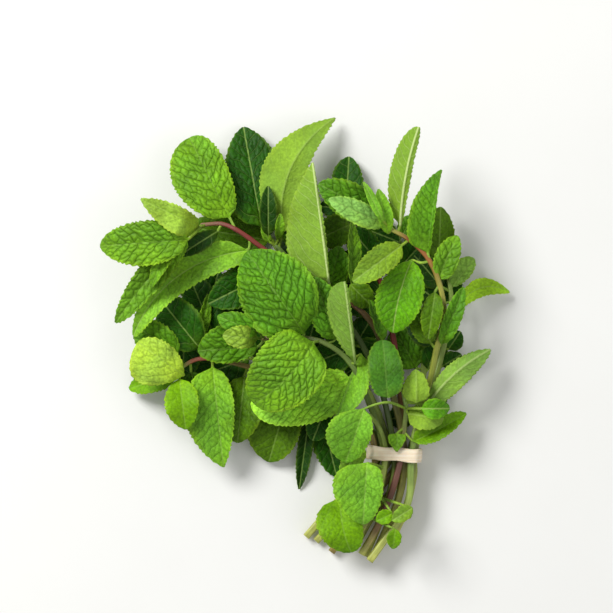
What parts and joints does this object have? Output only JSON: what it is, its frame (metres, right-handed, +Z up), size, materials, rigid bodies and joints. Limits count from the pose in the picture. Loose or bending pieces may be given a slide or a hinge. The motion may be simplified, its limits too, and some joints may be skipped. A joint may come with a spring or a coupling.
{
  "type": "tied bunch of mint",
  "caption": "Bunch of fresh mint sprigs lying flat, tied near the cut ends with a rubber band; leafy stems fan out from the band.",
  "frame": {"origin": "middle of the flat underside of the rubber band, on the surface that the bunch lies on", "axes": "+Y along the bunch from the band to the leafy end, +Z up from the surface, +X to the right"},
  "size_m": [0.1851, 0.2023, 0.0458],
  "materials": {
    "mint_herb": "satin",
    "rubber_band": "matte"
  },
  "bodies": {
    "root": {"rubber_band": "rubber_band", "sprig_01": "mint_herb", "sprig_02": "mint_herb", "sprig_03": "mint_herb", "sprig_04": "mint_herb", "sprig_05": "mint_herb", "sprig_06": "mint_herb", "sprig_07": "mint_herb", "sprig_08": "mint_herb", "sprig_09": "mint_herb", "sprig_10": "mint_herb", "sprig_11": "mint_herb", "sprig_12": "mint_herb"}
  },
  "joints": []
}
